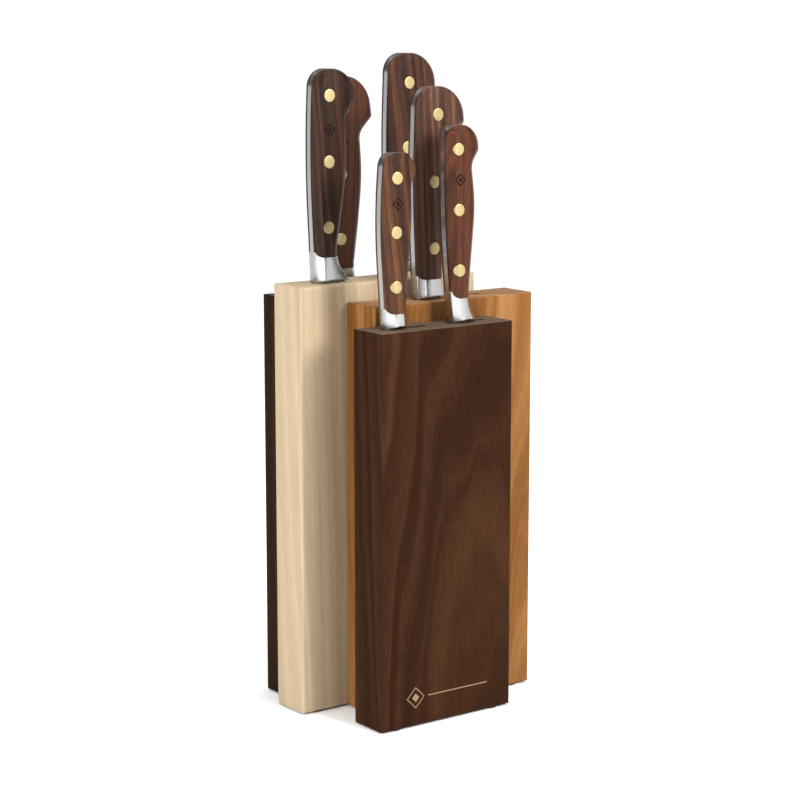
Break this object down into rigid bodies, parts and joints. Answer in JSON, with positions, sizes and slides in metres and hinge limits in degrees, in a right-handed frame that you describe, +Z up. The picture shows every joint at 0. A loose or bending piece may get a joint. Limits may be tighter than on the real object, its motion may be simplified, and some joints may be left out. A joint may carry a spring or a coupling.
{
  "type": "knife block with knives",
  "caption": "Upright knife block of staggered slabs in contrasting woods, with forged knives whose riveted wooden handles stand above the slots.",
  "frame": {"origin": "on the floor under the middle of the block", "axes": "+Z up, +Y from the front slab to the rear slab, +X to the right seen from the front"},
  "size_m": [0.1532, 0.116, 0.3968],
  "materials": {
    "dark_walnut": "oiled dark walnut",
    "cherry": "oiled cherry",
    "maple": "oiled pale maple",
    "wenge": "oiled very dark wood",
    "beech": "plain beech",
    "rubber": "matte",
    "steel": "satin blade, polished bolster",
    "handle_wood": "waxed reddish brown hardwood",
    "brass": "polished"
  },
  "bodies": {
    "block": {"front_slab_front_board": "dark_walnut", "front_slab_back_board": "dark_walnut", "front_slab_slot_floor": "dark_walnut", "front_slab_strip_left": "dark_walnut", "front_slab_strip_middle": "dark_walnut", "front_slab_strip_right": "dark_walnut", "second_slab_front_board": "cherry", "second_slab_back_board": "cherry", "second_slab_slot_floor": "cherry", "second_slab_strip_left": "cherry", "second_slab_strip_right": "cherry", "third_slab_front_board": "maple", "third_slab_back_board": "maple", "third_slab_slot_floor": "maple", "third_slab_strip_left": "maple", "third_slab_strip_right": "maple", "rear_slab_front_board": "wenge", "rear_slab_back_board": "wenge", "rear_slab_slot_floor": "wenge", "rear_slab_strip_left": "wenge", "rear_slab_strip_middle": "wenge", "rear_slab_strip_right": "wenge", "dowels_front_joint": "beech", "dowels_middle_joint": "beech", "dowels_rear_joint": "beech", "rubber_feet": "rubber"},
    "paring_knife": {"paring_knife_blade": "steel", "paring_knife_front_scale": "handle_wood", "paring_knife_back_scale": "handle_wood", "paring_knife_rivets": "brass"},
    "utility_knife": {"utility_knife_blade": "steel", "utility_knife_front_scale": "handle_wood", "utility_knife_back_scale": "handle_wood", "utility_knife_rivets": "brass"},
    "chefs_knife": {"chefs_knife_blade": "steel", "chefs_knife_front_scale": "handle_wood", "chefs_knife_back_scale": "handle_wood", "chefs_knife_rivets": "brass"},
    "carving_knife": {"carving_knife_blade": "steel", "carving_knife_front_scale": "handle_wood", "carving_knife_back_scale": "handle_wood", "carving_knife_rivets": "brass"},
    "boning_knife": {"boning_knife_blade": "steel", "boning_knife_front_scale": "handle_wood", "boning_knife_back_scale": "handle_wood", "boning_knife_rivets": "brass"},
    "bread_knife": {"bread_knife_blade": "steel", "bread_knife_front_scale": "handle_wood", "bread_knife_back_scale": "handle_wood", "bread_knife_rivets": "brass"}
  },
  "joints": [
    {"name": "paring_knife_draw", "type": "slide", "parent": "block", "child": "paring_knife", "axis": [0, 0, 1], "range_m": [0, 0.102]},
    {"name": "utility_knife_draw", "type": "slide", "parent": "block", "child": "utility_knife", "axis": [0, 0, 1], "range_m": [0, 0.132]},
    {"name": "chefs_knife_draw", "type": "slide", "parent": "block", "child": "chefs_knife", "axis": [0, 0, 1], "range_m": [0, 0.212]},
    {"name": "carving_knife_draw", "type": "slide", "parent": "block", "child": "carving_knife", "axis": [0, 0, 1], "range_m": [0, 0.212]},
    {"name": "boning_knife_draw", "type": "slide", "parent": "block", "child": "boning_knife", "axis": [0, 0, 1], "range_m": [0, 0.172]},
    {"name": "bread_knife_draw", "type": "slide", "parent": "block", "child": "bread_knife", "axis": [0, 0, 1], "range_m": [0, 0.226]}
  ]
}
